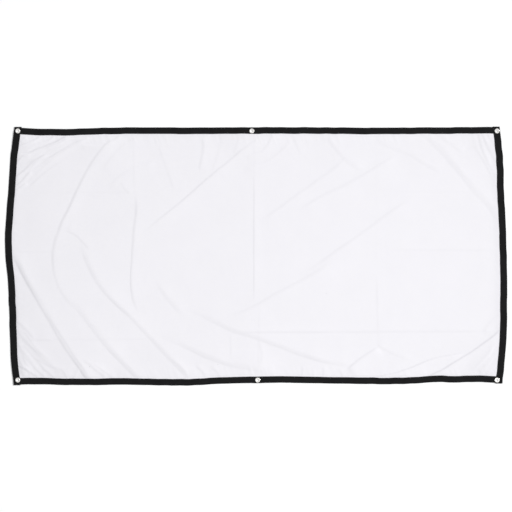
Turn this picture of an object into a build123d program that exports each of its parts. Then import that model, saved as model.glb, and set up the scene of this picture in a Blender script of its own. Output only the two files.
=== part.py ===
"""Soft backdrop panel: a white cloth bound all round with folded black tape, with six metal eyelets.

The panel lies face up on the XY plane, its top edge towards +Y. The cloth and the top and bottom bindings
are divided at the three storage folds, which run from the top edge to the bottom edge. All sizes are in
millimetres.
"""

import os
from math import sqrt

from build123d import *

# ---- outline of the laid panel
panel_height = 1000.0  # outer edge of the top binding to outer edge of the bottom binding
corner_width = 1897.0  # outer edge of the left binding to that of the right, measured at the corners
side_bow = 31.0  # how far each side bulges out half-way between its corners

# ---- cloth and tape
cloth_thickness = 0.3
tape_thickness = 0.5
binding_width = 25.0  # what the folded tape covers on each face of the cloth
tape_fold_radius = 0.4  # rounding of the tape's folded outer edge
edge_gap = 0.5  # from the edge of a layer to the inside of the fold that holds it
side_overhang = 2.0  # the side bindings run this far past the top and bottom bindings
step_ramp = 4.0  # length over which a side binding climbs onto a top or bottom binding
step_clearance = 0.5  # the climb ends this far before the edge that it climbs onto

# ---- eyelets
eyelet_bore_radius = 5.0
sheet_metal = 0.4
flange_radius = 9.5
flange_edge_radius = 1.0  # rounding of the front flange, to the middle of its metal
curl_radius = 0.75  # rolled end of the barrel, to the middle of its metal
hole_clearance = 0.2  # barrel to the hole in cloth and tape
washer_clearance = 0.1  # barrel to the washer
washer_radius = 9.3
eyelet_inset = 14.5  # eyelet centre to the outer edges of the bindings

# ---- storage folds
half_fold_x = -10.5
fold_gap = 0.6  # between the two sides of a fold
flap_clearance = 3.0  # from a folded flap's outermost edge to the half fold
eyelet_fold_clearance = 2.0  # from a middle eyelet's flange to the half fold

# ---- heights, with the rolled eyelet ends on the ground at z = 0
grip_layer = tape_thickness  # each binding adds one layer of tape to each face
curl_drop = sheet_metal + curl_radius + sheet_metal / 2
cloth_middle_z = curl_drop + 2 * grip_layer + cloth_thickness / 2
cloth_bottom_z = cloth_middle_z - cloth_thickness / 2
cloth_top_z = cloth_middle_z + cloth_thickness / 2

# ---- plan positions
half_height = panel_height / 2
half_corner = corner_width / 2
side_half_length = half_height + side_overhang
side_radius = (side_half_length**2 + side_bow**2) / (2 * side_bow)
side_centre_x = half_corner + side_bow - side_radius
panel_reach = half_corner + side_bow  # from the middle of the panel to its widest point
left_fold_x = (half_fold_x - panel_reach - flap_clearance) / 2
right_fold_x = (half_fold_x + panel_reach + flap_clearance) / 2
middle_eyelet_offset = flange_radius + eyelet_fold_clearance
beyond = 2 * panel_reach  # a length that passes every edge
hole_radius = eyelet_bore_radius + sheet_metal + hole_clearance
eyelet_x = half_corner - eyelet_inset
eyelet_y = half_height - eyelet_inset

# Each panel between two folds: its name, and where it starts and ends along X.
panels = {
    "outer_left": (-beyond, left_fold_x - fold_gap / 2),
    "inner_left": (left_fold_x + fold_gap / 2, half_fold_x - fold_gap / 2),
    "inner_right": (half_fold_x + fold_gap / 2, right_fold_x - fold_gap / 2),
    "outer_right": (right_fold_x + fold_gap / 2, beyond),
}

# Each eyelet: its name, its centre, and how many layers of tape it grips on each face.
eyelets = {
    "top_left": (-eyelet_x, eyelet_y, 2),
    "top_middle": (half_fold_x - middle_eyelet_offset, eyelet_y, 1),
    "top_right": (eyelet_x, eyelet_y, 2),
    "bottom_left": (-eyelet_x, -eyelet_y, 2),
    "bottom_middle": (half_fold_x + middle_eyelet_offset, -eyelet_y, 1),
    "bottom_right": (eyelet_x, -eyelet_y, 2),
}


def save(solid, name):
    """Label a finished piece and write its STEP file."""
    solid.label = name
    export_step(solid, f"parts/{name}.step")


def side_point(inset, y):
    """A point at height y on the right side's arc, moved in from the outer edge by inset."""
    return (side_centre_x + sqrt((side_radius - inset) ** 2 - y**2), y)


def eyelet_points(x_low, x_high):
    """Centres of the eyelets between two positions along X."""
    return [(x, y) for x, y, _ in eyelets.values() if x_low < x < x_high]


def arc_band(outer_inset, inner_inset, reach):
    """What lies between two arcs along the right side, up to reach above and below the middle."""
    outer = [side_point(outer_inset, y) for y in (-reach, 0, reach)]
    inner = [side_point(inner_inset, y) for y in (-reach, 0, reach)]
    with BuildSketch() as band:
        with BuildLine():
            ThreePointArc(*outer)
            Line(outer[2], inner[2])
            ThreePointArc(*inner)
            Line(inner[0], outer[0])
        make_face()
    return band.sketch


def layer_outline(x_low, x_high):
    """What the side bindings hold, between x_low and x_high: straight edges, and an arc at each side."""
    inset = tape_thickness + edge_gap
    top = half_height
    right = [side_point(inset, y) for y in (-top, 0, top)]
    left = [(-x, y) for x, y in right]
    with BuildSketch() as outline:
        with BuildLine():
            ThreePointArc(*right)
            Line(right[2], left[2])
            ThreePointArc(*left)
            Line(left[0], right[0])
        make_face()
        with Locations(((x_low + x_high) / 2, 0)):
            Rectangle(x_high - x_low, beyond, mode=Mode.INTERSECT)
    return outline.sketch


# ================================================================ cloth
def cloth_panel(x_low, x_high):
    """The cloth between two folds, reaching into the bindings that hold its edges."""
    outline = layer_outline(x_low, x_high)
    cloth_height = panel_height - 2 * (tape_thickness + edge_gap)
    with BuildPart() as cloth:
        with BuildSketch(Plane.XY.offset(cloth_bottom_z)):
            add(outline)
            Rectangle(beyond, cloth_height, mode=Mode.INTERSECT)
            with Locations(*eyelet_points(x_low, x_high)):
                Circle(hole_radius, mode=Mode.SUBTRACT)
        extrude(amount=cloth_thickness)
    return cloth.part


# ================================================================ top and bottom bindings
def edge_binding(x_low, x_high, edge):
    """Tape folded over the top edge (edge = 1) or the bottom edge (edge = -1), between two folds."""
    outline = layer_outline(x_low, x_high)
    middle_y = edge * (half_height - binding_width / 2)
    depth = binding_width - tape_thickness
    with BuildPart() as binding:
        with BuildSketch(Plane.YZ):
            with Locations((middle_y, cloth_middle_z)):
                folded = Rectangle(binding_width, cloth_thickness + 2 * tape_thickness)
            outer_corners = folded.vertices().group_by(Axis.X)[-1 if edge > 0 else 0]
            fillet(outer_corners, tape_fold_radius)
            with Locations((middle_y - edge * tape_thickness / 2, cloth_middle_z)):
                Rectangle(depth, cloth_thickness, mode=Mode.SUBTRACT)
        extrude(amount=beyond, both=True)
        with BuildSketch():
            add(outline)
        extrude(amount=beyond, both=True, mode=Mode.INTERSECT)
        for x, y in eyelet_points(x_low, x_high):
            if y * edge > 0:
                with Locations((x, y)):
                    Hole(hole_radius)
    return binding.part


# ================================================================ side bindings
def stepped_path(height, face):
    """Points along a face of a side binding, which steps outward over each edge binding.

    height is the distance from the cloth's surface where the side binding lies on the cloth.
    """
    climbed = half_height - binding_width - step_clearance
    steps = [(climbed - step_ramp, height), (climbed, height + grip_layer)]
    steps.append((side_half_length + step_clearance, height + grip_layer))
    surface = cloth_middle_z + face * cloth_thickness / 2
    upper = [(y, surface + face * h) for y, h in steps]
    return [(-y, z) for y, z in reversed(upper)] + upper


def stepped_block(height, band):
    """The part of an arc band that lies between the two stepped faces at this height off the cloth."""
    outline = stepped_path(height, 1) + stepped_path(height, -1)[::-1]
    with BuildPart() as block:
        with BuildSketch(Plane.YZ):
            with BuildLine():
                Polyline(*outline, close=True)
            make_face()
        extrude(amount=beyond)
        with BuildSketch():
            add(band)
        extrude(amount=beyond, both=True, mode=Mode.INTERSECT)
    return block.part


def side_binding():
    """The right binding, folded over the side of the cloth and over the ends of the edge bindings."""
    tape = stepped_block(tape_thickness, arc_band(0, binding_width, side_half_length))
    inside = arc_band(tape_thickness, binding_width + 1, side_half_length + step_clearance / 2)
    with BuildPart() as binding:
        add(tape)
        outer_face = binding.faces().sort_by(lambda face: face.bounding_box().max.X)[-1]
        fold_edges = outer_face.edges().filter_by(Axis.Z, reverse=True)
        fillet(fold_edges, tape_fold_radius)
        add(stepped_block(0, inside), mode=Mode.SUBTRACT)
        with Locations((eyelet_x, eyelet_y), (eyelet_x, -eyelet_y)):
            Hole(hole_radius)
    return binding.part


# ================================================================ eyelets
def section_plane(x, y):
    """The upright plane through an eyelet's centre: its X runs outward and its Y runs up."""
    return Plane(origin=(x, y, 0), x_dir=(1, 0, 0), z_dir=(0, -1, 0))


def eyelet(x, y, layers):
    """Front flange, barrel and rolled end of one eyelet, as one pressed piece of sheet metal."""
    front_z = cloth_top_z + layers * grip_layer
    washer_z = cloth_bottom_z - layers * grip_layer - sheet_metal
    barrel = eyelet_bore_radius + sheet_metal / 2
    rim = flange_radius - sheet_metal / 2
    crown_z = front_z + sheet_metal / 2 + flange_edge_radius
    with BuildPart() as pressed:
        with BuildSketch(section_plane(x, y)):
            with BuildLine():
                curl_end = (barrel + 2 * curl_radius, washer_z)
                curl_low = (barrel + curl_radius, washer_z - curl_radius)
                ThreePointArc(curl_end, curl_low, (barrel, washer_z))
                barrel_top = (barrel, crown_z - flange_edge_radius)
                Line((barrel, washer_z), barrel_top)
                crown_start = (barrel + flange_edge_radius, crown_z)
                TangentArc(barrel_top, crown_start, tangent=(0, 1))
                crown_end = (rim - flange_edge_radius, crown_z)
                Line(crown_start, crown_end)
                rim_top = (rim, crown_z - flange_edge_radius)
                TangentArc(crown_end, rim_top, tangent=(1, 0))
                Line(rim_top, (rim, front_z))
            trace(line_width=sheet_metal)
        revolve(axis=Axis((x, y, 0), (0, 0, 1)))
    return pressed.part


def washer(x, y, layers):
    """Flat ring behind the tape that the eyelet's rolled end clamps."""
    back_z = cloth_bottom_z - layers * grip_layer
    inner_radius = eyelet_bore_radius + sheet_metal + washer_clearance
    with BuildPart() as ring:
        with BuildSketch(Plane(origin=(x, y, back_z - sheet_metal))):
            Circle(washer_radius)
            Circle(inner_radius, mode=Mode.SUBTRACT)
        extrude(amount=sheet_metal)
    return ring.part


# ================================================================ build every piece
os.makedirs("parts", exist_ok=True)

for panel, (start, end) in panels.items():
    save(cloth_panel(start, end), f"cloth_{panel}")
    for edge_name, edge_side in (("top", 1), ("bottom", -1)):
        save(edge_binding(start, end, edge_side), f"{edge_name}_binding_{panel}")

right_binding = side_binding()
save(right_binding.mirror(Plane.YZ), "left_binding")
save(right_binding, "right_binding")

for corner, (centre_x, centre_y, tape_layers) in eyelets.items():
    save(eyelet(centre_x, centre_y, tape_layers), f"eyelet_{corner}")
    save(washer(centre_x, centre_y, tape_layers), f"washer_{corner}")
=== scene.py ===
"""Looks of the soft backdrop panel: a white cloth bound with folded black tape, with six metal eyelets.

Everything is in metres, in the frame of the CAD model: the panel lies face up on the floor at z = 0, with its
top edge towards +Y. One function, lie(), says how high the cloth's middle lies at any place. The cloth, the
tape and the stitches all take their heights from it, so that they stay in contact.
"""

import math

import bmesh
import bpy
import numpy as np
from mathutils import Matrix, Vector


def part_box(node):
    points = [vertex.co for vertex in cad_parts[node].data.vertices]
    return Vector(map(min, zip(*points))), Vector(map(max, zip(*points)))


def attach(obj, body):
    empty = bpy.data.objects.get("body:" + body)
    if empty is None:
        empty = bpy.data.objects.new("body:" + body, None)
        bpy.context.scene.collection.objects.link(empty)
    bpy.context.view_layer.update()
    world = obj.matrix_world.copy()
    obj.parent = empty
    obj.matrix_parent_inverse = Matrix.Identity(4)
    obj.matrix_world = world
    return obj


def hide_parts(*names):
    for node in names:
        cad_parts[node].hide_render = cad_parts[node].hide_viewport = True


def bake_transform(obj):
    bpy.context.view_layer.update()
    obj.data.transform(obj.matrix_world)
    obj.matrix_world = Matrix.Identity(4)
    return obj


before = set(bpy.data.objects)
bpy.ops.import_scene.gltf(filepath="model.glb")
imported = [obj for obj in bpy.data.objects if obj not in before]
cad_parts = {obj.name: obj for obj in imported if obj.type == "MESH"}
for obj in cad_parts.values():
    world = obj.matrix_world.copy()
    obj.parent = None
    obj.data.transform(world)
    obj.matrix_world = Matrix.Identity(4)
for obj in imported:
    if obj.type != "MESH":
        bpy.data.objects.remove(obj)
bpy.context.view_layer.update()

MM = 0.001

# ======== driving sizes
HALF_WIDTH = 0.9485  # middle to a side's outer edge, at the corners
HALF_HEIGHT = 0.5  # middle to the outer edge of the top or bottom tape
SIDE_BOW = 0.031  # how far each side bulges out half-way up
SIDE_OVERHANG = 0.002  # the side tapes run this far past the top and bottom tapes

CLOTH_THICKNESS = 0.3 * MM
CLOTH_TUCK = 0.8 * MM  # gap between the cloth's edge and the inside of a tape's fold
TAPE_WIDTH = 0.0255
SIDE_TAPE_WIDTH = 0.027
TAPE_THICKNESS = 0.48 * MM
RIB_PITCH, RIB_THREAD = 1.25 * MM, 0.55 * MM  # the tape's ribs, which cross it, and the threads that cross them
FIRST_LAYER = 0.41 * MM  # middle of a tape layer that lies on the cloth, above the cloth's middle
SECOND_LAYER = 0.91 * MM  # the same for a tape layer that lies on another
HOLE_RADIUS = 5.65 * MM

CLOTH_CELL = 3.9 * MM
TAPE_CELL = 5.0 * MM
EYELET_CELL = 1.6 * MM
BEND_CELL = 0.9 * MM
STRAIGHT_REACH = 0.52  # beyond this far from the middle, the cloth's columns start to follow the bowed sides

CLOTH_REST = 0.35 * MM  # height of the cloth's middle where it lies on the floor
TAPE_REST = 1.0 * MM  # the same inside a tape
HIGHEST_FOLD = 7.5 * MM
REST_REACH, RIGHT_REST_REACH = 0.06, 0.028  # how far from a tape the cloth comes down to the floor
CREASE_WIDTH = 3.6 * MM  # half-width of the painted shade line at the foot of a wrinkle
WANDER = ((2.5 * MM, 0.13), (0.5 * MM, 0.03))  # how crooked wrinkles are: how far they stray, over what length
FOLD_WANDER = ((0.6 * MM, 0.03),)  # the same for pressed folds
CRUMPLE = ((0.04 * MM, 0.016, 9), (0.02 * MM, 0.009, 10))  # cloth that was folded small: height, size, seed
SWELL = ((0.2 * MM, 0.2, 7), (0.04 * MM, 0.06, 8))  # soft swells between the wrinkles
SWELL_REACH = 0.09  # they die out this far from the tape
LEFT_LIFT = 1.8 * MM  # the left part stands this much higher
PUCKER_HEIGHT, PUCKER_REACH = 0.8 * MM, 0.09  # small puckers beside the tape, and how far from the edge they reach
# painted shade: how much the puckers' lines darken the cloth's colour
PUCKER_SHADE = 0.6
TAPE_FLATTENING = 0.9  # share of the wrinkles' height that the tape takes away
FLATTENED, RIGHT_FLATTENED = 0.018, 0.045  # how wide the strip is in which they come back
HOLD_START, HOLD_REACH = 0.013, 0.13  # an eyelet holds the cloth up from its flange to this far beyond it
FLAT_REACH = 0.02  # and presses its wrinkles flat this far beyond it

# Painted shade: how much the cloth's colour is darkened beside the tapes, beside the right tape and in the corners,
# and how far from there it is darkened.
SEAM_SHADE, SEAM_REACH = 0.25, 0.02
RIGHT_SHADE, RIGHT_REACH = 0.35, 0.05
CORNER_SHADE = ((-1, -1, 0.6), (1, -1, 0.42), (1, 1, 0.12))  # side, edge, how much
CORNER_REACH = 0.32

# ======== places taken from the CAD model
EYELETS = {}
for edge in ("top", "bottom"):
    for place in ("left", "middle", "right"):
        low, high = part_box(f"eyelet_{edge}_{place}")
        centre = (low + high) / 2
        EYELETS[f"{edge}_{place}"] = (centre.x, centre.y)

cloth_low, cloth_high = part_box("cloth_inner_left")
EYELET_REST = (cloth_low.z + cloth_high.z) / 2  # height of the cloth's middle where an eyelet holds it up
HALF_FOLD = (cloth_high.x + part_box("cloth_inner_right")[0].x) / 2
LEFT_FOLD = (cloth_low.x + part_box("cloth_outer_left")[1].x) / 2
RIGHT_FOLD = (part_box("cloth_inner_right")[1].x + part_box("cloth_outer_right")[0].x) / 2

# Where each fold bends the cloth: the bodies before and after it, and where the bend starts and ends. The meshes
# are made finer over each bend.
BENDS = {
    "left": ("left_centre", "left_flap", LEFT_FOLD + 4 * MM, LEFT_FOLD - 10 * MM),
    "middle": ("right_centre", "left_centre", HALF_FOLD + 10 * MM, HALF_FOLD - 10 * MM),
    "right": ("right_flap", "right_centre", RIGHT_FOLD + 10 * MM, RIGHT_FOLD - 4 * MM),
}
# The half fold's bend moves sideways by this much for each metre up the panel, to pass between the middle eyelets.
HALF_FOLD_LEAN = 0.016


# ======== small helpers
def add_object(name, data):
    """A new object in the scene."""
    item = bpy.data.objects.new(name, data)
    bpy.context.scene.collection.objects.link(item)
    return item


def smoothstep(value):
    value = np.clip(value, 0.0, 1.0)
    return value * value * (3 - 2 * value)


def noise(x, y, size, seed):
    """Smooth noise from -1 to 1 whose bumps are about size across."""
    lattice = np.random.default_rng(seed).uniform(-1, 1, (64, 64))
    u, v = np.asarray(x) / size, np.asarray(y) / size
    i, j = np.floor(u).astype(int), np.floor(v).astype(int)
    fu, fv = smoothstep(u - i), smoothstep(v - j)
    low = lattice[i % 64, j % 64] * (1 - fu) + lattice[(i + 1) % 64, j % 64] * fu
    high = lattice[i % 64, (j + 1) % 64] * (1 - fu) + lattice[(i + 1) % 64, (j + 1) % 64] * fu
    return low * (1 - fv) + high * fv


def layered(x, y, seed, layers):
    """Noise in layers of (height, size), each with the seed after the last one's."""
    return sum(height * noise(x, y, size, seed + number) for number, (height, size) in enumerate(layers))


def raised_noise(x, y, layers):
    """Noise in layers of (height, size, seed) that never goes below zero."""
    return sum(height * (1 + noise(x, y, size, seed)) for height, size, seed in layers)


def through(points, at):
    """A smooth curve through (position, value) points, read at these positions."""
    places, values = np.array(points).T
    slopes = np.gradient(values, places)
    at = np.clip(at, places[0], places[-1])
    k = np.clip(np.searchsorted(places, at, side="right") - 1, 0, len(places) - 2)
    span = places[k + 1] - places[k]
    t = (at - places[k]) / span
    return (
        (2 * t**3 - 3 * t**2 + 1) * values[k]
        + (t**3 - 2 * t**2 + t) * span * slopes[k]
        + (3 * t**2 - 2 * t**3) * values[k + 1]
        + (t**3 - t**2) * span * slopes[k + 1]
    )


# ======== outline of the laid panel
EDGE_RIPPLE, RIPPLE_LENGTH = 0.8 * MM, 0.03  # small ripples along every edge
# How far each edge strays from its true line, in millimetres: (position along the edge in metres, stray).
TOP_STRAY = [(-0.95, 1), (-0.915, -3), (-0.87, -6), (-0.79, -6.3), (-0.68, -5), (-0.6, -2), (-0.5, -0.5),
             (-0.3, -0.5), (-0.1, -0.8), (0.06, 0.6), (0.24, 0), (0.45, -1.5), (0.69, 0), (0.95, 1)]
BOTTOM_STRAY = [(-0.95, -3), (-0.88, -2), (-0.75, -5), (-0.45, -4.5), (-0.32, -7.5), (-0.24, -6), (-0.15, -1),
                (0.0, 2.7), (0.15, 3.5), (0.3, 0.5), (0.5, -1.5), (0.6, 0), (0.69, 6), (0.77, 4.7),
                (0.87, 7), (0.95, 2)]
LEFT_STRAY = [(-0.5, -2.5), (-0.4, -2.5), (-0.32, 1.5), (-0.22, 5), (-0.14, 5.5), (-0.08, 3.5), (-0.02, -3),
              (0.05, -6), (0.17, -2.5), (0.27, 0), (0.4, -1.5), (0.5, 2)]
RIGHT_STRAY = [(-0.5, 6), (-0.38, 4.5), (-0.29, 3), (-0.2, -1.5), (-0.1, -5), (0.05, -8.5), (0.17, -10.5),
               (0.27, -9.5), (0.36, -5), (0.5, -5)]


def side_line(y):
    """Outer edge of a side from the panel's middle, before it strays: an arc through both corners."""
    reach = HALF_HEIGHT + SIDE_OVERHANG
    radius = (reach**2 + SIDE_BOW**2) / (2 * SIDE_BOW)
    return HALF_WIDTH + SIDE_BOW - radius + np.sqrt(radius**2 - np.minimum(np.abs(y), reach) ** 2)


def edge_line(true_line, stray, seed):
    """Where an edge lies, as a function of the position along it."""
    return lambda at: true_line(at) + MM * through(stray, at) + EDGE_RIPPLE * noise(at, 0, RIPPLE_LENGTH, seed)


top_edge = edge_line(lambda x: HALF_HEIGHT, TOP_STRAY, 11)
bottom_edge = edge_line(lambda x: -HALF_HEIGHT, BOTTOM_STRAY, 12)
left_edge = edge_line(lambda y: -side_line(y), LEFT_STRAY, 13)
right_edge = edge_line(side_line, RIGHT_STRAY, 14)


# ======== folds and wrinkles of the cloth
# Long soft wrinkles: points along the crease at the foot of the steep side, height, the widths of the sides to
# the left and right of the crest as one walks along it, the steep side being the narrower one, and how much
# of the height falls right at the crease. A last number, where there is one, is the share of the length over which
# each end dies out. Points, heights and widths are in millimetres, and the usual shares are left out.
WRINKLES = [
    # on the left third, sweeping down towards the bottom edge
    ([(-555, 475), (-607, 418), (-637, 378), (-696.5, 270), (-735, 189), (-766, 127), (-792, 50)], 1.5, 26, 7, 0.3),
    ([(-780, 100), (-800, 10), (-793, -71), (-766, -142), (-716, -205)], 1.1, 40, 8),
    ([(-775, -125), (-745, -175), (-708, -210), (-641, -297), (-595.5, -357.5), (-540, -415), (-478, -478),
      (-430, -530)], 1.5, 34, 20, 0.08),
    ([(-708, -210), (-641, -297), (-595.5, -357.5), (-540, -415)], 0.7, 30, 16),
    ([(-749, 95), (-714, 81), (-690, 60), (-656, 18)], 0.6, 30, 7),
    ([(-704, 62), (-672, -22), (-623, -113), (-572, -177), (-495.5, -250.5), (-440.5, -305.5), (-364, -391),
      (-280.5, -477.5), (-233, -533)], 1.2, 34, 16, 0.12),
    ([(-690, 25), (-672, -22), (-623, -113), (-572, -177), (-495.5, -250.5)], 0.85, 30, 14),
    ([(-973, 27), (-948, -20), (-914, -84), (-883, -136), (-847, -198), (-814, -255), (-781, -316), (-743, -377),
      (-704, -433), (-675, -477), (-632, -542)], 3.0, 34, 17, 0.28),
    # the left quarter fold, which has sprung open into a soft curve
    ([(-478, 250), (-475, 177), (-485, 87), (-493, -5), (-496.5, -96), (-490.5, -161), (-464, -235)], 1.0, 35, 7,
      0.25),
    # from the top middle towards the left
    ([(26, 479), (-12, 448), (-80, 398.5), (-147, 343), (-223, 278.5), (-300, 210), (-398, 131), (-460, 78)], 1.2,
      30, 6, 0.32, 0.22),
    # long diagonals on the right half
    ([(345, 390), (317, 361), (221.5, 289), (136, 230.5), (54.5, 167), (5, 135)], 0.95, 45, 9, 0.12),
    ([(550, 400), (500, 374), (410, 318), (320, 269), (233.5, 226.4), (154, 177.5)], 1.3, 45, 9, 0.13),
    ([(630, 243), (511.5, 168), (404, 88.5), (313, 26), (223, -40), (160, -78)], 1.1, 45, 11, 0.3, 0.25),
    ([(300, -15), (240, -54), (162, -98), (67, -148), (-30, -202), (-82, -223), (-160, -247)], 1.45, 40, 11, 0.2,
      0.2),
    # across the lower middle
    ([(-404, -88), (-377, -141), (-339.5, -190), (-274.5, -255)], 0.8, 40, 16, 0.1, 0.35),
    ([(-300, -200), (-252, -224), (-174, -261), (-105, -294), (-27, -319), (80, -359), (168, -393), (256, -417),
      (363, -432), (400, -430)], 1.4, 40, 16, 0.16, 0.3),
    ([(168, -393), (256, -417), (330, -429), (385, -433)], 0.7, 34, 14, 0.15, 0.25),
    ([(-410, -300), (-378, -320), (-290, -359), (-203, -401), (-115, -430), (-37, -445), (60, -463), (130, -470)],
      1.6, 50, 19, 0.16, 0.4),
    ([(345, -445), (411, -393), (475, -352)], 1.3, 7, 30, 0.3),
    ([(460, -348), (510, -375), (600, -415)], 0.5, 30, 8, 0.15),
    # right end
    ([(600, 515), (641, 466), (679, 432.5), (722.5, 387), (767, 337), (804, 291), (848, 235), (894, 186),
      (923, 142), (971, 57)], 1.1, 36, 22, 0.08),
    ([(448, 455), (490.5, 429.5), (539.5, 408.5), (582.5, 393), (632, 360.5), (684, 334), (725, 316)], 0.6, 40, 15,
      0.12),
    ([(693, 479), (721, 452.5), (760, 424.5), (803, 393)], 0.5, 25, 11, 0.12),
    ([(975, -259), (940, -295), (895, -330), (834, -374), (768, -413), (717, -447), (684, -463), (620, -505)], 1.75,
      42, 6, 0.7),
    ([(820, -376), (778, -382), (720, -394), (663, -412), (609, -434), (534, -458), (478, -471), (400, -490)], 1.7,
      34, 7, 0.5),
    ([(966, -210), (936, -230), (903, -258), (872, -301)], 0.8, 25, 9, 0.15),
    # short ones that hang from the top edge
    ([(-213, 500), (-215, 462), (-219, 404), (-235, 325)], 0.6, 25, 7, 0.25),
    ([(-386, 432), (-381, 410), (-358, 342), (-327, 246)], 0.35, 25, 8),
    ([(-148, 490), (-151, 443), (-165, 384), (-185, 325)], 0.35, 22, 9, 0.12),
    ([(-585, 265), (-560, 295), (-520, 325), (-460, 352), (-390, 368)], 0.7, 9, 25, 0.15),
    ([(-539, 287), (-524, 262), (-499, 237)], 0.45, 22, 8, 0.15),
    ([(55, 490), (50, 462), (21.5, 413), (-50, 390)], 0.6, 25, 7, 0.15),
    ([(130, 450), (100, 420), (41, 374), (-60, 345)], 0.7, 28, 8, 0.12),
    ([(260, 460), (275, 443), (343, 365), (410, 320)], 0.6, 28, 14, 0.12),
    ([(115, 500), (145, 440), (165, 390)], 0.35, 22, 8, 0.08),
    ([(-85, 500), (-82, 440), (-100, 400)], 0.4, 20, 8, 0.1),
    ([(-530, 480), (-565, 450), (-600, 435), (-690, 437)], 1.1, 18, 8),
    ([(-460, 475), (-520, 435), (-575, 380), (-610, 330)], 0.5, 30, 10, 0.1),
    # across the top left corner
    ([(-720, 470), (-755, 461), (-784, 446), (-823, 431), (-860, 417), (-894, 404), (-930, 402), (-965, 405)], 2.2,
      13, 7, 0.4),
    ([(-640, 467), (-662, 464), (-706, 461), (-735, 458), (-755, 451), (-769, 442), (-791, 435), (-813, 426.5),
      (-835, 418)], 1.2, 9, 5, 0.4),
    ([(-660, 458), (-686, 451), (-706, 444), (-723, 436), (-740, 426.5), (-760, 414), (-784, 402), (-803, 389),
      (-825, 380), (-845, 372)], 1.2, 14, 6, 0.35),
    ([(-815, 402), (-835, 392.5), (-852, 385), (-872, 373), (-886, 361), (-913, 334), (-938, 314), (-965, 290)],
      1.7, 14, 7, 0.38),
    ([(-845, 475), (-859.5, 461), (-876.6, 452), (-894, 443.6), (-918, 436), (-950, 425)], 1.2, 9, 5, 0.4),
    ([(-790, 475), (-803, 461), (-818, 450), (-837.6, 445), (-860, 440)], 0.9, 8, 5, 0.35),
    ([(-885, 400), (-901, 397), (-918, 390), (-928, 380), (-945, 360)], 0.9, 8, 5, 0.4),
    ([(-880, 335), (-894, 324), (-908, 307), (-923, 290), (-940, 278), (-960, 270)], 1.1, 11, 5, 0.35),
    ([(-900, 290), (-918, 275), (-935, 263), (-960, 250)], 0.9, 9, 5, 0.35),
    # across the bottom left corner
    ([(-960, -250), (-938, -261), (-920.5, -271), (-908, -283), (-886, -310), (-870, -330)], 0.8, 16, 8, 0.3),
    ([(-955, -270), (-935, -300), (-923, -315), (-911, -330), (-896, -347), (-879, -364), (-864, -373.5),
      (-847, -386), (-828, -398), (-810, -410)], 0.55, 16, 8, 0.35, 0.3),
    ([(-945, -320), (-931, -354), (-923, -373.5), (-913, -390.5), (-901, -407.6), (-886, -422), (-872, -437),
      (-857, -454), (-842, -466), (-820, -485)], 0.62, 13, 7, 0.45),
    ([(-940, -380), (-929, -410), (-922, -430), (-914, -450)], 0.42, 8, 5, 0.45),
    ([(-940, -425), (-923, -437), (-911, -444), (-896, -451.5), (-884, -459), (-869, -469), (-850, -485)], 0.8, 10,
      6, 0.5),
    ([(-875, -400), (-857, -410), (-833, -422), (-808, -434.5), (-779, -442), (-762, -451.5), (-750, -471),
      (-740, -490)], 0.75, 16, 8, 0.35),
    ([(-845, -440), (-820, -455), (-800, -475), (-790, -490)], 0.6, 10, 6, 0.35),
    ([(-685, -410), (-669, -420), (-657, -427), (-642.5, -442), (-626, -456), (-608, -469), (-590, -485)], 1.0, 14,
      7, 0.35),
    ([(-650, -420), (-627.5, -436), (-600, -455), (-560, -485)], 0.6, 12, 7, 0.25),
    ([(-690, -440), (-694, -447), (-703.6, -468.6), (-710, -490)], 0.7, 5, 8, 0.35),
    # the second edge of the long crease that runs down to the bottom edge
    ([(-823, -222), (-797, -268), (-777, -297.5), (-758, -327), (-738, -356), (-721, -385), (-704, -410),
      (-689, -429), (-663, -467)], 0.8, 12, 4, 0.55),
    # short ones that stand on the bottom edge
    ([(170, -425), (172, -445), (168, -490)], 0.5, 14, 7, 0.35, 0.3),
    ([(253, -430), (256, -450), (250, -490)], 0.55, 14, 7, 0.35, 0.3),
    ([(210, -435), (216, -455), (210, -490)], 0.4, 12, 6, 0.3, 0.3),
    ([(310, -450), (325, -460), (330, -490)], 0.45, 14, 7, 0.3, 0.3),
    ([(-250, -430), (-225, -447), (-200, -485)], 0.6, 14, 7, 0.35, 0.3),
    ([(-190, -435), (-165, -450), (-145, -485)], 0.6, 14, 7, 0.3, 0.3),
    ([(-345, -405), (-310, -430), (-275, -470)], 0.6, 14, 8, 0.25, 0.3),
    ([(0, -330), (12, -380), (6, -440)], 0.35, 14, 7, 0.3, 0.3),
    # across the top right corner
    ([(850, 500), (862, 454), (879, 404), (901, 353), (924, 309), (950, 260)], 0.75, 16, 9, 0.3),
    ([(865, 500), (879, 459), (901, 415), (924, 376), (950, 340)], 0.75, 14, 8, 0.35),
    ([(885, 490), (905, 455), (930, 420)], 0.7, 10, 6),
    # across the bottom right corner
    ([(970, -320), (934, -357), (901, -396), (868, -430), (840, -460)], 0.9, 10, 22, 0.4),
    ([(965, -360), (930, -400), (900, -435), (880, -470)], 0.9, 8, 18, 0.45),
    ([(960, -410), (930, -440), (900, -465), (860, -500)], 0.9, 7, 16, 0.45),
]

# Broad low waves of the whole cloth: points along the foot, height and the widths of both sides, as above.
BROAD_WAVES = [
    ([(-1060, -120), (-900, -360), (-720, -600)], 4.6, 320, 225),
    ([(-600, 620), (-800, 400), (-1050, 220)], 1.6, 160, 110),
    ([(-1060, -300), (-940, -440), (-820, -580)], 1.5, 200, 110),
]

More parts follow.
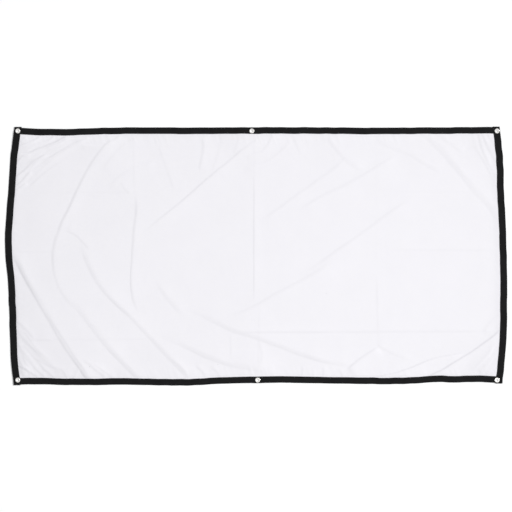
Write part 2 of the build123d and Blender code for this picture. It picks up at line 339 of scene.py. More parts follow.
# Pressed storage folds: both ends and the height, in millimetres. They run straight across and up the panel.
PRESSED_FOLDS = [
    ((-15.6, 360), (-15.6, -220), 0.45),
    ((-14, 480), (-15.6, 300), 0.12),
    ((4, -180), (2, -480), 0.22),
    ((462, -60), (470, -370), 0.3),
    ((462, 460), (462, -100), 0.1),
    ((-487, 470), (-480, 220), 0.15),
    ((-107, -290), (-106, -410), 0.25),
    ((-100, -300), (340, -299.5), 0.9),
    ((200, -299.5), (950, -296.5), 0.6),
    ((-900, -331.5), (-790, -331), 0.7),
    ((-880, -330), (-360, -326), 0.35),
    ((480, 21.5), (970, 19.5), 0.35),
    ((500, 249), (860, 247), 0.2),
    ((-660, 244), (-450, 246), 0.25),
    ((-920, 245), (-600, 244), 0.12),
    ((-950, 12), (-780, 14), 0.25),
]

# Fans of small wrinkles that cut across each corner: the signs of the corner's X and Y, how far from it they start
# and end along the top or bottom edge and along the side, how many there are, and their height in millimetres.
CORNER_FANS = [
    (-1, 1, (0.07, 0.36), (0.05, 0.26), 11, 0.8),
    (-1, -1, (0.04, 0.24), (0.04, 0.24), 12, 0.8),
    (1, 1, (0.03, 0.15), (0.05, 0.27), 6, 0.3),
    (1, -1, (0.03, 0.22), (0.03, 0.20), 6, 0.4),
]


def smooth_path(points, step=0.006):
    """Points every step along a smooth curve through the given ones."""
    points = np.array(points, float)
    runs = np.hypot(*np.diff(points, axis=0).T)
    reach = np.concatenate([[0], np.cumsum(runs)])
    at = np.linspace(0, reach[-1], max(3, int(reach[-1] / step)))
    return np.stack([through(np.stack([reach, points[:, k]], 1), at) for k in (0, 1)], 1)


class Ridge:
    """A raised line in the cloth. Its wide side falls away softly, its narrow side ends in a crease on the path."""

    def __init__(self, points, height, left, right, crease=0.2, ends=0.15):
        self.path = smooth_path(points)
        self.tangent = np.gradient(self.path, axis=0)
        step = np.hypot(*self.tangent.T)
        self.tangent /= step[:, None]
        self.reach = np.concatenate([[0], np.cumsum((step[1:] + step[:-1]) / 2)])
        self.height, self.left, self.right = height * MM, left * MM, right * MM
        self.ends, self.crease = ends, crease

    def at(self, x, y, seed):
        """Height that the ridge adds at each of these places, and the painted shade along its crease there."""
        margin = 2.5 * max(self.left, self.right)
        low, high = self.path.min(0) - margin, self.path.max(0) + margin
        near = (x > low[0]) & (x < high[0]) & (y > low[1]) & (y < high[1])
        raised, painted_shade = np.zeros_like(x), np.zeros_like(x)
        if not near.any():
            return raised, painted_shade
        places = np.stack([x[near], y[near]], 1)
        nearest = np.concatenate([
            ((part[:, None] - self.path[None]) ** 2).sum(2).argmin(1)
            for part in np.array_split(places, max(1, len(places) // 20000))
        ])
        away = places - self.path[nearest]
        tangent = self.tangent[nearest]
        along = self.reach[nearest] + (away * tangent).sum(1)
        aside = tangent[:, 0] * away[:, 1] - tangent[:, 1] * away[:, 0]
        length = self.reach[-1]
        strength = 1 + 0.15 * noise(along, 0, 0.09, seed)
        wobble = 1 + 0.15 * noise(along, 0, 0.08, seed + 500)
        # from the crest, which runs beside the path
        aside = aside + wobble * (self.left if self.left < self.right else -self.right)
        on_left = aside > 0
        width = np.where(on_left, self.left, self.right) * wobble
        steep = on_left == (self.left < self.right)
        share = np.abs(aside) / width
        slope = 1 - (1 - self.crease) * np.minimum(share, 1) ** 1.3 - self.crease * np.minimum(share, 1) ** 6
        shape = np.where(steep, slope, np.exp(-(share**1.35)))
        ends = smoothstep(along / (self.ends * length)) * smoothstep((length - along) / (self.ends * length))
        raised[near] = self.height * strength * shape * ends
        foot = np.where(steep, np.abs(np.abs(aside) - width), 1.0)
        # painted shade: a dark line along the crease at the foot of the steep side
        painted_shade[near] = np.exp(-((foot / CREASE_WIDTH) ** 2)) * ends * strength * self.crease * self.height / MM
        return raised, painted_shade


def corner_fan(sx, sy, edge_reach, side_reach, count, height, seed):
    """Small curved wrinkles that run from the top or bottom edge to the side, across a corner."""
    random = np.random.default_rng(seed)
    ridges = []
    for k in range(count):
        share = (k + random.uniform(-0.45, 0.45)) / (count - 1)
        along_edge = edge_reach[0] + (edge_reach[1] - edge_reach[0]) * share * random.uniform(0.75, 1.05)
        along_side = side_reach[0] + (side_reach[1] - side_reach[0]) * share
        start = np.array([sx * (HALF_WIDTH - along_edge), sy * (HALF_HEIGHT - TAPE_WIDTH * 0.9)])
        end = np.array([sx * (HALF_WIDTH - TAPE_WIDTH * 0.7), sy * (HALF_HEIGHT - along_side)])
        bow = random.uniform(-0.02, 0.16) * (along_edge + along_side) / 2
        waist = (start + end) / 2 + np.array([sx, sy]) * bow * 0.5
        if random.uniform() < 0.6:  # it dies out before it reaches the edge
            start = start + (waist - start) * random.uniform(0.2, 0.9)
        size = height * random.uniform(0.45, 1.0)
        wide = random.uniform(9, 15)
        narrow = wide * random.uniform(0.4, 0.6)
        left, right = (narrow, wide) if sy < 0 else (wide, narrow)
        ridges.append(Ridge([start, (start + waist) / 2 + random.uniform(-0.004, 0.004, 2), waist, end], size,
                            left, right, ends=random.uniform(0.25, 0.5)))
    return ridges


RIDGES = [Ridge(np.array(points) * MM, *sizes) for points, *sizes in WRINKLES]
for number, fan in enumerate(CORNER_FANS):
    RIDGES += corner_fan(*fan, seed=40 + number)
FOLDS = [Ridge(np.array(ends) * MM, height, 16, 6, crease=0.5, ends=0.25) for *ends, height in PRESSED_FOLDS]
WAVES = [Ridge(np.array(points) * MM, *sizes, crease=0.0, ends=0.3) for points, *sizes in BROAD_WAVES]


def end_distance(x, y):
    """Distance from the nearer of the top and bottom edges."""
    return np.minimum(top_edge(x) - y, y - bottom_edge(x))


def side_distance(x, y):
    """Distance from the nearer side."""
    return np.minimum(x - left_edge(y), right_edge(y) - x)


def edge_distance(x, y):
    return np.minimum(side_distance(x, y), end_distance(x, y))


def relief(x, y):
    """Height of the folds and wrinkles above the resting cloth at each place, and the painted shade along their
    creases there.
    """
    raised, painted_shade = np.zeros_like(x), np.zeros_like(x)
    # the last number of each row is how strongly its creases are painted darker, as painted shade
    for ridges, first_seed, stray_x, stray_y, wear_and_shade in (
        (RIDGES, 100, layered(x, y, 1, WANDER), layered(x, y, 3, WANDER), 1.0),
        (WAVES, 200, 0.0, 0.0, 0.0),
        (FOLDS, 300, layered(x, y, 5, FOLD_WANDER), layered(x, y, 6, FOLD_WANDER), 1.1),
    ):
        for number, ridge in enumerate(ridges):
            height, crease = ridge.at(x + stray_x, y + stray_y, first_seed + number)
            raised += height
            painted_shade = np.maximum(painted_shade, wear_and_shade * crease)
    return raised, painted_shade


def puckers(x, y):
    """Small puckers that the seam draws into the cloth beside the tape: their height, and the painted shade along
    their lines.
    """
    raised, lines = 0.0, 0.0
    for along, across, inside, seed in ((x, y, end_distance(x, y), 21), (y, x, side_distance(x, y), 22)):
        beside = smoothstep(1 - inside / PUCKER_REACH)
        slant = along + 0.35 * across
        raised = raised + beside * np.abs(noise(slant, across * 0.25, 0.014, seed))
        # painted shade along lines across the puckers
        line = np.abs(noise(slant, across * 0.3, 0.032, seed + 3))
        lines = np.maximum(lines, beside * smoothstep(1 - line / 0.2))
    patches = smoothstep(0.5 + 1.2 * noise(x, y, 0.11, 23)) * smoothstep(0.75 - 0.6 * x)
    return PUCKER_HEIGHT * raised, PUCKER_SHADE * patches * lines


def lie(x, y):
    """Height of the cloth's middle at each place of the laid panel."""
    shape = np.shape(x)
    x, y = np.ravel(x).astype(float), np.ravel(y).astype(float)
    inside = edge_distance(x, y)
    from_tape = inside - TAPE_WIDTH
    beside_right = right_edge(y) - x < inside + 1 * MM
    raised = relief(x, y)[0] + raised_noise(x, y, CRUMPLE) + puckers(x, y)[0]
    strip = np.where(beside_right, RIGHT_FLATTENED, FLATTENED)
    raised *= 1 - TAPE_FLATTENING + TAPE_FLATTENING * smoothstep((from_tape + 8 * MM) / strip)

    # the left part rises steeply from its tape and comes down slowly towards the middle
    from_left = np.maximum(x - left_edge(y) - SIDE_TAPE_WIDTH, 0)
    from_ends = end_distance(x, y) - TAPE_WIDTH
    lift = LEFT_LIFT * (1 - np.exp(-from_left / 0.045)) * (1 - 0.8 * smoothstep((from_left - 0.15) / 0.6))
    swell = raised_noise(x, y, SWELL)
    raised = raised + swell * smoothstep(from_tape / SWELL_REACH) + lift * smoothstep(from_ends / 0.05)
    raised = HIGHEST_FOLD * np.tanh(raised / HIGHEST_FOLD)

    reach = np.where(beside_right, RIGHT_REST_REACH, REST_REACH)
    rest = CLOTH_REST + (TAPE_REST - CLOTH_REST) * smoothstep(1 - from_tape / reach)
    for ex, ey in EYELETS.values():
        away = np.hypot(x - ex, y - ey)
        rest = rest + (EYELET_REST - rest) * smoothstep(1 - (away - HOLD_START) / HOLD_REACH)
        raised = raised * (1 - smoothstep(1 - (away - HOLD_START) / FLAT_REACH))
    return (rest + raised).reshape(shape)


# ======== meshes
def thin_sheet(name, front, back, keep, normals=None, marks=None):
    """A closed thin mesh between two grids of points, with a rim round every edge and hole.

    keep says which cells of the grid are there, normals sets the grid's own normals, and marks gives each point
    a value that a material can read.
    """
    count = front[..., 0].size
    index = np.arange(count).reshape(front.shape[:2])
    quads = np.stack([index[:-1, :-1], index[1:, :-1], index[1:, 1:], index[:-1, 1:]], -1)[keep]
    sides = np.concatenate([quads[:, [k, (k + 1) % 4]] for k in range(4)])
    border = sides[~np.isin(sides[:, 0] * count + sides[:, 1], sides[:, 1] * count + sides[:, 0])]
    rim = np.stack([border[:, 1], border[:, 0], border[:, 0] + count, border[:, 1] + count], -1)
    faces = np.concatenate([quads, quads[:, ::-1] + count, rim])
    used, packed = np.unique(faces, return_inverse=True)
    packed = packed.reshape(faces.shape)
    points = np.concatenate([front.reshape(-1, 3), back.reshape(-1, 3)])[used]

    mesh = bpy.data.meshes.new(name)
    mesh.from_pydata(points.tolist(), [], packed.tolist())
    mesh.shade_smooth()
    if normals is None:
        mesh.set_sharp_from_angle(angle=math.radians(50))
    else:
        both = np.concatenate([normals.reshape(-1, 3), -normals.reshape(-1, 3)])
        corner = both[faces]
        start = points[packed[len(quads) * 2:]]
        flat = np.cross(start[:, 1] - start[:, 0], start[:, 2] - start[:, 0])
        flat /= np.maximum(np.linalg.norm(flat, axis=1), 1e-12)[:, None]
        corner[len(quads) * 2:] = flat[:, None]
        mesh.normals_split_custom_set(corner.reshape(-1, 3).tolist())
    if marks is not None:
        both = np.tile(marks.ravel(), 2)[used]
        colours = np.stack([both, both, both, np.ones_like(both)], 1)
        mesh.color_attributes.new("painted_shade", "FLOAT_COLOR", "POINT").data.foreach_set("color", colours.ravel())
    return add_object(name, mesh)


def grid_normals(points):
    """Unit normals of a grid of points, facing up."""
    du, dv = np.gradient(points, axis=0), np.gradient(points, axis=1)
    normals = np.cross(du, dv)
    return normals / np.linalg.norm(normals, axis=2)[..., None]


def open_holes(x, y):
    """Cells of a grid that lie outside every eyelet's hole, with the points round each hole moved onto its edge."""
    keep = np.ones((x.shape[0] - 1, x.shape[1] - 1), bool)
    for ex, ey in EYELETS.values():
        away = np.hypot(x - ex, y - ey)
        mean = (away[:-1, :-1] + away[1:, :-1] + away[1:, 1:] + away[:-1, 1:]) / 4
        hole = mean < HOLE_RADIUS
        if not hole.any():
            continue
        keep &= ~hole
        padded = np.pad(hole, 1)
        touching = [padded[i:i + x.shape[0], j:j + x.shape[1]] for i in (0, 1) for j in (0, 1)]
        rim = np.any(touching, 0) & ~np.all(touching, 0)
        pull = HOLE_RADIUS / np.maximum(away[rim], 1e-6)
        x[rim] = ex + (x[rim] - ex) * pull
        y[rim] = ey + (y[rim] - ey) * pull
    return keep


def spaced(low, high, cell, zones=()):
    """Positions from low to high about a cell apart, and closer together in zones of (start, end, cell)."""
    marks = {low, high}
    for start, end, fine in zones:
        marks |= {min(max(start, low), high), min(max(end, low), high)}
    marks = sorted(marks)
    result = []
    for a, b in zip(marks[:-1], marks[1:]):
        size = min([cell] + [fine for start, end, fine in zones if start < (a + b) / 2 < end])
        result += list(np.linspace(a, b, max(1, round((b - a) / size)), endpoint=False))
    return np.array(result + [high])


def bend_zones(y):
    """The zones where the cloth and the long tapes bend, at this height up the panel."""
    shift = {"left": 0.0, "middle": HALF_FOLD_LEAN * y, "right": 0.0}
    return [(min(start, end) + shift[part], max(start, end) + shift[part], BEND_CELL)
            for part, (_, _, start, end) in BENDS.items()]


# ---- cloth
def make_cloth():
    """The cloth in three pieces that meet at two cuts."""
    tuck = TAPE_THICKNESS + CLOTH_TUCK
    cut = (HALF_WIDTH + SIDE_BOW) / 3
    cuts = (-HALF_WIDTH, -cut, cut, HALF_WIDTH)
    runs = [spaced(low, high, CLOTH_CELL, bend_zones(0.0)) for low, high in zip(cuts[:-1], cuts[1:])]
    ends = np.cumsum([0] + [len(run) - 1 for run in runs])
    base = np.concatenate([run[:-1] for run in runs] + [[HALF_WIDTH]])[:, None]
    rows = round(2 * HALF_HEIGHT / CLOTH_CELL) + 1
    t = np.linspace(0, 1, rows)[None]
    y = (bottom_edge(base) + tuck) * (1 - t) + (top_edge(base) - tuck) * t
    # the columns follow the folds, and the bowed sides near the ends
    bowed = smoothstep((np.abs(base) - STRAIGHT_REACH) / (HALF_WIDTH - STRAIGHT_REACH))
    bulge = np.where(base < 0, left_edge(y) + tuck + HALF_WIDTH, right_edge(y) - tuck - HALF_WIDTH)
    lean = HALF_FOLD_LEAN * y * smoothstep((0.1 - np.abs(base - HALF_FOLD)) / 0.08)
    x = base + bowed * bulge + lean
    keep = open_holes(x, y)
    points = np.stack([x, y, lie(x, y)], 2)
    normals = grid_normals(points)
    # painted shade: the cloth's colour is darkened along the creases and puckers, beside the tapes, beside the
    # right tape and in the corners
    painted_shade = np.maximum(relief(x.ravel(), y.ravel())[1].reshape(x.shape), puckers(x, y)[1])
    painted_shade = painted_shade + SEAM_SHADE * smoothstep(1 - (edge_distance(x, y) - TAPE_WIDTH) / SEAM_REACH)
    painted_shade = painted_shade + RIGHT_SHADE * smoothstep(1 - (right_edge(y) - x - SIDE_TAPE_WIDTH) / RIGHT_REACH)
    for side, edge, strength in CORNER_SHADE:
        from_corner = np.hypot(x - side * HALF_WIDTH, y - edge * HALF_HEIGHT)
        painted_shade = painted_shade + strength * smoothstep(1 - from_corner / CORNER_REACH)
    lift = np.array([0, 0, CLOTH_THICKNESS / 2])
    pieces = []
    for name, first, last in zip(("cloth_left", "cloth_middle", "cloth_right"), ends[:-1], ends[1:]):
        part = slice(first, last + 1)
        pieces.append(thin_sheet(name, points[part] + lift, points[part] - lift, keep[first:last], normals[part],
                                 painted_shade[part]))
    return pieces


# ---- tape
def fold_section(width):
    """Cross-section of a folded tape: distance from the outer edge, and which way its outside faces."""
    turn = FIRST_LAYER + TAPE_THICKNESS / 2
    flat = np.linspace(width, turn, 13)[:-1]
    ones, none = np.ones(len(flat)), np.zeros(len(flat))
    angles = np.linspace(math.pi / 2, -math.pi / 2, 7)
    distance = np.concatenate([flat, turn - FIRST_LAYER * np.cos(angles), flat[::-1]])
    out = np.concatenate([none, -np.cos(angles), none])
    up = np.concatenate([ones, np.sin(angles), -ones])
    return distance, out, up


def on_end(line, sign):
    """Where a point of the top or bottom tape lies, from its place along the edge and its distance inward."""
    return lambda along, distance: (along + 0 * distance, line(along) - sign * distance)


def on_side(line, sign):
    """The same for a side tape."""
    return lambda along, distance: (line(along) - sign * distance, along + 0 * distance)


def one_layer(along):
    """Height of the front layer of a tape that lies on the cloth."""
    return np.full(np.shape(along), FIRST_LAYER)


def folded_tape(name, along, place, layer_at, flip, width=TAPE_WIDTH):
    """A folded tape. place(along, distance) gives x and y; layer_at(along) the height of its front layer."""
    base, out, up = fold_section(width)
    along = along[:, None]
    # the tape's width varies a little, but not at its fold
    distance = base * np.where(base > 2 * MM, 1 + 0.012 * noise(along, 0, 0.05, 31), 1.0)
    true_x, true_y = place(along, distance)
    x, y = true_x.copy(), true_y.copy()
    keep = open_holes(x, y)
    height = lie(x, y) + up * layer_at(along)
    faces = []
    for half in (TAPE_THICKNESS / 2, -TAPE_THICKNESS / 2):
        face_x, face_y = place(along, distance + out * half)
        faces.append(np.stack([x + face_x - true_x, y + face_y - true_y, height + up * half], 2))
    return thin_sheet(name, *(grid[::-1 if flip else 1] for grid in (*faces, keep)))


def edge_tape(name, low, high, edge):
    """Part of the top or bottom tape, from x = low to x = high."""
    line = top_edge if edge > 0 else bottom_edge
    holes = [(ex - 11 * MM, ex + 11 * MM, EYELET_CELL) for ex, ey in EYELETS.values() if ey * edge > 0]
    along = spaced(low, high, TAPE_CELL, holes + bend_zones(edge * HALF_HEIGHT))
    return folded_tape(name, along, on_end(line, edge), one_layer, edge > 0)


def climb(x):
    """Height of a side tape's front layer along x, which steps up where it covers a top or bottom tape."""
    def layer_at(y):
        inner = np.minimum(top_edge(x) - TAPE_WIDTH - y, y - bottom_edge(x) - TAPE_WIDTH)
        return FIRST_LAYER + (SECOND_LAYER - FIRST_LAYER) * smoothstep(1 - (inner - 1.5 * MM) / (5 * MM))
    return layer_at


def side_tape(name, side):
    """The whole left or right tape."""
    corner = side * (HALF_WIDTH - TAPE_WIDTH / 2)
    low, high = bottom_edge(corner) - SIDE_OVERHANG, top_edge(corner) + SIDE_OVERHANG
    holes = [(ey - 20 * MM, ey + 20 * MM, EYELET_CELL) for ex, ey in EYELETS.values() if ex * side > 0.5]
    along = spaced(low, high, TAPE_CELL * 0.8, holes)
    line = left_edge if side < 0 else right_edge
    return folded_tape(name, along, on_side(line, side), climb(corner), side < 0, SIDE_TAPE_WIDTH)


# ---- stitches
STITCH_LENGTH = 3.0 * MM
STITCH_PITCH = 3.6 * MM
STITCH_INSET = 2.4 * MM  # seam to the tape's inner edge
STITCH_SIDES = 6
THREAD_RADIUS = 0.22 * MM
EYELET_CLEAR = 11.5 * MM  # no stitch lies closer than this to an eyelet's middle


def stitches(name, first, last, place, layer_at, width=TAPE_WIDTH):
    """A row of stitches on each face of a tape, as short threads that dip at both ends."""
    along = np.arange(math.ceil(first / STITCH_PITCH), math.floor(last / STITCH_PITCH) + 1) * STITCH_PITCH
    centre_x, centre_y = place(along, np.full(len(along), width - STITCH_INSET))
    clear = np.ones(len(along), bool)
    for ex, ey in EYELETS.values():
        clear &= np.hypot(centre_x - ex, centre_y - ey) > EYELET_CLEAR
    along = along[clear]
    share = np.linspace(-0.5, 0.5, 5)
    angle = np.linspace(0, 2 * math.pi, STITCH_SIDES, endpoint=False)
    sway = 0.12 * MM * noise(along, 0, 0.006, 61)[:, None]
    here = along[:, None] + share * STITCH_LENGTH
    line = np.full_like(here, width - STITCH_INSET) + sway
    x, y = place(here, line)
    layer = layer_at(here.ravel()).reshape(here.shape) + TAPE_THICKNESS / 2
    radius, sink = THREAD_RADIUS * np.array([[0.55, 1, 1.05, 1, 0.55], [-0.6, 0.35, 0.6, 0.35, -0.6]])
    spoke = radius[:, None, None] * np.stack([np.cos(angle), np.sin(angle)], -1)
    ground = lie(x, y)
    bx, by = place(here, line + 1 * MM)
    side = np.stack([bx - x, by - y, np.zeros_like(x)], -1)
    side /= np.linalg.norm(side, axis=-1)[..., None]
    points, faces = [], []
    for face in (1, -1):
        core = np.stack([x, y, ground + face * (layer + sink)], -1)
        ring = core[:, :, None] + spoke[..., :1] * side[:, :, None] + spoke[..., 1:] * np.array([0, 0, face])
        offset = sum(len(p) for p in points)
        points.append(ring.reshape(-1, 3))
        index = offset + np.arange(ring[..., 0].size).reshape(ring.shape[:3])
        a, b = index[:, :-1], index[:, 1:]
        quads = np.stack([a, np.roll(a, -1, 2), np.roll(b, -1, 2), b], -1).reshape(-1, 4)
        caps = np.concatenate([index[:, 0][:, ::-1], index[:, -1]])
        faces += quads.tolist() + caps.tolist()
    mesh = bpy.data.meshes.new(name)
    mesh.from_pydata(np.concatenate(points).tolist(), [], faces)
    mesh.validate()
    mesh.shade_smooth()
    fix_outward(mesh)
    return add_object(name, mesh)


def fix_outward(mesh):
    """Turn every closed part of a mesh so that its faces look outward."""
    work = bmesh.new()
    work.from_mesh(mesh)
    bmesh.ops.recalc_face_normals(work, faces=work.faces)
    work.to_mesh(mesh)
    work.free()


# ======== materials
class Nodes:
    """Writes the shader graph of a material or a world."""

    def __init__(self, owner, output="ShaderNodeOutputMaterial"):
        owner.use_nodes = True
        self.owner, self.tree = owner, owner.node_tree
        self.tree.nodes.clear()
        self.output = self.tree.nodes.new(output)

    def add(self, kind, settings=None, **inputs):
        """A node with these settings and inputs; _ stands for a space in an input's name."""
        node = self.tree.nodes.new(kind)
        for key, value in (settings or {}).items():
            setattr(node, key, value)
        for key, value in inputs.items():
            self.put(node, key.replace("_", " "), value)
        return node

    def put(self, node, key, value):
        socket = node.inputs[int(key) if key.isdigit() else key]
        if isinstance(value, bpy.types.NodeSocket):
            self.tree.links.new(value, socket)
        else:
            socket.default_value = value

    def join(self, kind, settings, *values):
        """The first output of a node whose inputs take these values in order."""
        return self.add(kind, settings, **{str(place): value for place, value in enumerate(values)}).outputs[0]

    def math(self, operation, *values):
        return self.join("ShaderNodeMath", {"operation": operation}, *values)

    def mix(self, factor, a, b, blend="MIX"):
        node = self.add("ShaderNodeMix", {"data_type": "RGBA", "blend_type": blend}, Factor=factor, A=a, B=b)
        return node.outputs["Result"]

    def ramp(self, value, stops):
        node = self.add("ShaderNodeValToRGB", Fac=value)
        while len(node.color_ramp.elements) < len(stops):
            node.color_ramp.elements.new(0.5)
        for element, (place, colour) in zip(node.color_ramp.elements, stops):
            element.position = place
            element.color = (*colour, 1)
        return node.outputs["Color"]

    def coords(self):
        mapping = self.add("ShaderNodeMapping", Vector=self.add("ShaderNodeTexCoord").outputs["Object"])
        return mapping.outputs["Vector"]

    def noise(self, coords, scale, detail, roughness, distortion=0.0):
        node = self.add("ShaderNodeTexNoise", Scale=scale, Detail=detail, Roughness=roughness, Vector=coords,
                        Distortion=distortion)
        return node.outputs["Fac"]

    def seen(self):
        """1 for rays from the camera, off a gloss or through glass, and 0 for the rest."""
        rays = self.add("ShaderNodeLightPath").outputs
        direct = self.math("MAXIMUM", rays["Is Camera Ray"], rays["Is Glossy Ray"])
        return self.math("MAXIMUM", direct, rays["Is Transmission Ray"])

    def finish(self, shader):
        """Use this shader for the surface, and hand back the material or world."""
        self.put(self.output, "Surface", shader)
        return self.owner

    def surface(self, colour, rough, bump, **more):
        shader = self.add("ShaderNodeBsdfPrincipled", Base_Color=colour, Roughness=rough, Normal=bump.outputs[0],
                          **more)
        return self.finish(shader.outputs[0])


def new_material(name):
    """The graph of a new material, and its object coordinates."""
    nodes = Nodes(bpy.data.materials.new(name))
    return nodes, nodes.coords()


def weave_height(nodes, coords, pitch_x, pitch_y):
    """Plain weave: warp and weft threads that cross over and under, as a height from 0 to 1."""
    split = nodes.add("ShaderNodeSeparateXYZ", Vector=coords)
    u = nodes.math("MULTIPLY", split.outputs[0], math.pi / pitch_x)
    v = nodes.math("MULTIPLY", split.outputs[1], math.pi / pitch_y)
    warp = nodes.math("ABSOLUTE", nodes.math("SINE", u))
    weft = nodes.math("ABSOLUTE", nodes.math("SINE", v))
    side = nodes.math("MULTIPLY_ADD", nodes.math("SINE", nodes.math("ADD", u, v)), 0.5, 0.5)
    first = nodes.math("MULTIPLY", warp, side)
    second = nodes.math("MULTIPLY", weft, nodes.math("SUBTRACT", 1.0, side))
    return nodes.math("ADD", first, second)


def cloth_material():
    nodes, coords = new_material("white_cloth")
    weave = weave_height(nodes, coords, 0.55 * MM, 0.55 * MM)
    mottle = nodes.noise(coords, 9.0, 4.0, 0.55)
    slub = nodes.noise(coords, 420.0, 2.0, 0.5)
    tone = nodes.ramp(mottle, [(0.3, (0.884, 0.870, 0.902)), (0.7, (0.896, 0.882, 0.914))])
    # a few dark specks
    specks = nodes.add("ShaderNodeTexVoronoi", {"feature": "F1"}, Scale=26.0, Randomness=1.0, Vector=coords)
    chosen = nodes.add("ShaderNodeSeparateColor", Color=specks.outputs["Color"])
    rare = nodes.math("GREATER_THAN", chosen.outputs[0], 0.97)
    small = nodes.math("LESS_THAN", specks.outputs["Distance"], 0.045)
    speck = nodes.math("MULTIPLY", nodes.math("MULTIPLY", rare, small), 0.3)
    colour = nodes.mix(speck, tone, (0.25, 0.24, 0.24, 1))
    # painted shade: greyer along the creases and puckers, beside the tapes and in the corners
    painted_shade = nodes.add("ShaderNodeVertexColor", {"layer_name": "painted_shade"})
    grey = nodes.math("MULTIPLY", painted_shade.outputs["Color"], 0.42)
    colour = nodes.mix(grey, colour, (0.86, 0.86, 0.87, 1), "MULTIPLY")
    height = nodes.math("ADD", nodes.math("MULTIPLY", weave, 0.6), nodes.math("MULTIPLY", slub, 0.5))
    bump = nodes.add("ShaderNodeBump", Strength=0.35, Distance=0.12 * MM, Height=height)
    return nodes.surface(colour, nodes.math("MULTIPLY_ADD", slub, 0.12, 0.82), bump,
                         Specular_IOR_Level=0.2, Sheen_Weight=0.08, Sheen_Roughness=0.6)


def tape_material(name, rib_x, rib_y):
    """Black grosgrain tape; rib_x and rib_y are the pitches of its threads along X and Y."""
    nodes, coords = new_material(name)
    weave = weave_height(nodes, coords, rib_x, rib_y)
    wear_and_shade = nodes.noise(coords, 22.0, 5.0, 0.6)
    lint = nodes.noise(coords, 900.0, 2.0, 0.6)
    base = nodes.ramp(wear_and_shade, [(0.3, (0.0045, 0.0045, 0.0049)), (0.72, (0.0095, 0.0095, 0.0099))])
    # painted shade: the weave's hollows are darker and its raised threads lighter
    thread = nodes.ramp(weave, [(0.15, (0.55, 0.55, 0.55)), (0.8, (1.25, 1.25, 1.25))])
    height = nodes.math("ADD", weave, nodes.math("MULTIPLY", lint, 0.35))
    bump = nodes.add("ShaderNodeBump", Strength=0.6, Distance=0.22 * MM, Height=height)
    colour = nodes.mix(1.0, base, thread, "MULTIPLY")
    return nodes.surface(colour, nodes.math("MULTIPLY_ADD", wear_and_shade, 0.18, 0.66), bump,
                         Specular_IOR_Level=0.09, Sheen_Weight=0.012, Sheen_Roughness=0.5)


def thread_material():
    nodes, coords = new_material("black_thread")
    twist = nodes.noise(coords, 2500.0, 2.0, 0.5)
    colour = nodes.ramp(twist, [(0.3, (0.018, 0.018, 0.019)), (0.7, (0.05, 0.05, 0.053))])
    bump = nodes.add("ShaderNodeBump", Strength=0.5, Distance=0.08 * MM, Height=twist)
    return nodes.surface(colour, nodes.math("MULTIPLY_ADD", twist, 0.2, 0.4), bump, Specular_IOR_Level=0.5)


def metal_material():
    nodes, coords = new_material("nickel_eyelet")
    haze = nodes.noise(coords, 260.0, 4.0, 0.6)
    scratch = nodes.noise(coords, 700.0, 3.0, 0.7, distortion=1.5)
    colour = nodes.ramp(haze, [(0.3, (0.68, 0.67, 0.65)), (0.7, (0.81, 0.80, 0.78))])
    bump = nodes.add("ShaderNodeBump", Strength=0.12, Distance=0.05 * MM, Height=scratch)
    return nodes.surface(colour, nodes.math("MULTIPLY_ADD", haze, 0.16, 0.16), bump, Metallic=1.0)


# ======== put the panel together
def dress(piece, material):
    """Give a new piece its material."""
    piece.data.materials.append(material)


TAPE_END = 1.6 * MM  # the top and bottom tapes end this far inside the side tapes' outer edges
STITCH_CLEAR = 1 * MM  # and their stitches start this far from the side tapes' inner edges
CUT_LEFT, CUT_RIGHT = (LEFT_FOLD + HALF_FOLD) / 2, (HALF_FOLD + RIGHT_FOLD) / 2


def bend(piece):
    """Bake a piece's placement into its mesh."""
    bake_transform(piece)


# The panels that each part of the cloth and of the long tapes stands for.
PANELS = {"left": ("outer_left", "inner_left"), "middle": ("inner_left", "inner_right"),
          "right": ("inner_right", "outer_right")}

cloth = dict(zip(PANELS, make_cloth()))
white_cloth = cloth_material()
for part, piece in cloth.items():
    dress(piece, white_cloth)
    bend(piece)
    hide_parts(*[f"cloth_{panel}" for panel in PANELS[part]])

black_along_x = tape_material("black_tape_along_x", RIB_PITCH, RIB_THREAD)
black_along_y = tape_material("black_tape_along_y", RIB_THREAD, RIB_PITCH)
thread = thread_material()
hem = {"left": [], "middle": [], "right": []}
for edge, sign in (("top", 1), ("bottom", -1)):
    line = top_edge if sign > 0 else bottom_edge
    corner_y = sign * (HALF_HEIGHT - TAPE_WIDTH / 2)
    low, high = left_edge(corner_y) + TAPE_END, right_edge(corner_y) - TAPE_END
    for part, start, end in zip(PANELS, (low, CUT_LEFT, CUT_RIGHT), (CUT_LEFT, CUT_RIGHT, high)):
        tape = edge_tape(f"{edge}_tape_{part}", start, end, sign)
        dress(tape, black_along_x)
        bend(tape)
        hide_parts(*[f"{edge}_binding_{panel}" for panel in PANELS[part]])
        first = max(start, left_edge(corner_y) + SIDE_TAPE_WIDTH + STITCH_CLEAR)
        last = min(end, right_edge(corner_y) - SIDE_TAPE_WIDTH - STITCH_CLEAR)
        row = stitches(f"{edge}_stitches_{part}", first + 0.5 * STITCH_PITCH, last - 0.5 * STITCH_PITCH,
                       on_end(line, sign), one_layer)
        dress(row, thread)
        bend(row)
        hem[part] += [tape, row]

for name, sign in (("left", -1), ("right", 1)):
    line = left_edge if sign < 0 else right_edge
    tape = side_tape(f"{name}_tape", sign)
    dress(tape, black_along_y)
    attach(tape, f"{name}_flap")
    corner = sign * (HALF_WIDTH - TAPE_WIDTH)
    first, last = bottom_edge(corner), top_edge(corner)
    row = stitches(f"{name}_stitches", first + 0.6 * STITCH_PITCH, last - 0.6 * STITCH_PITCH,
                   on_side(line, sign), climb(corner), SIDE_TAPE_WIDTH)
    dress(row, thread)
    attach(row, f"{name}_flap")
    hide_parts(f"{name}_binding")
    hem[name] += [tape, row]

nickel = metal_material()
for place in EYELETS:
    for kind in ("eyelet", "washer"):
        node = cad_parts[f"{kind}_{place}"]
        for slot in node.material_slots:
            slot.material = nickel

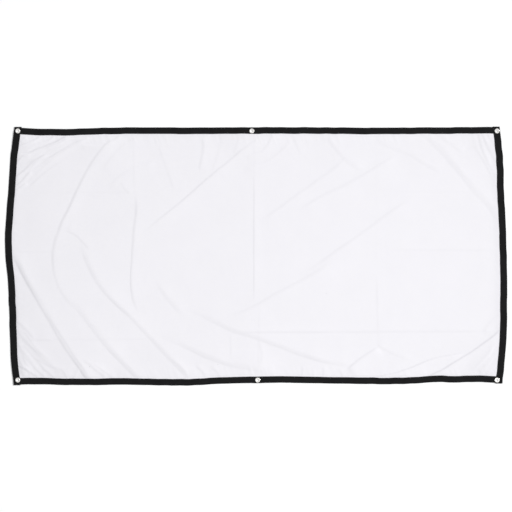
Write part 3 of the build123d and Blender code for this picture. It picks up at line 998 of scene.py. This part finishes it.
# ======== floor, light and camera
VIEW_WIDTH = 1.997  # what the camera's frame covers at the cloth
VIEW_CENTRE = (-0.0058, -0.002)
FLOOR_GLOW = 0.16  # what the floor adds to its own brightness where it is seen, to look white
DOME_STRENGTH = 0.448

bpy.ops.mesh.primitive_plane_add(size=14, location=(0, 0, 0))
floor = bpy.context.object
floor.name = "floor"
paper = Nodes(bpy.data.materials.new("white_floor"))
diffuse = paper.add("ShaderNodeBsdfDiffuse", Color=(0.9, 0.9, 0.9, 1))
strength = paper.math("MULTIPLY", paper.seen(), FLOOR_GLOW)
glow = paper.add("ShaderNodeEmission", Color=(1, 1, 1, 1), Strength=strength)
both = paper.join("ShaderNodeAddShader", None, diffuse.outputs[0], glow.outputs[0])
floor.data.materials.append(paper.finish(both))

sky = Nodes(bpy.data.worlds.new("studio"), "ShaderNodeOutputWorld")
dome = sky.add("ShaderNodeBackground", Color=(0.97, 0.98, 1.0, 1), Strength=DOME_STRENGTH)
white = sky.add("ShaderNodeBackground", Color=(1, 1, 1, 1), Strength=1.0)
bpy.context.scene.world = sky.finish(
    sky.join("ShaderNodeMixShader", None, sky.seen(), dome.outputs[0], white.outputs[0])
)


def lamp(name, kind, place, **settings):
    """A lamp at place that points at the middle of the panel."""
    data = bpy.data.lights.new(name, kind)
    for key, value in settings.items():
        setattr(data, key, value)
    item = add_object(name, data)
    item.location = place
    x, y, z = place
    item.rotation_euler = (math.atan2(math.hypot(x, y), z), 0, math.atan2(y, x) + math.pi / 2)


lamp("key", "SUN", (3.0, 0.95, 2.05), energy=2.5, angle=math.radians(14))
lamp("overhead_panel", "AREA", (0.82, -0.2, 2.3), energy=9.8, shape="SQUARE", size=1.2)

camera_data = bpy.data.cameras.new("camera")
camera_data.lens = 85
camera_data.sensor_width = 36
camera_data.clip_end = 100
camera = add_object("camera", camera_data)
camera.location = (*VIEW_CENTRE, VIEW_WIDTH * camera_data.lens / camera_data.sensor_width)
bpy.context.scene.camera = camera

bpy.context.scene.view_settings.view_transform = "Standard"
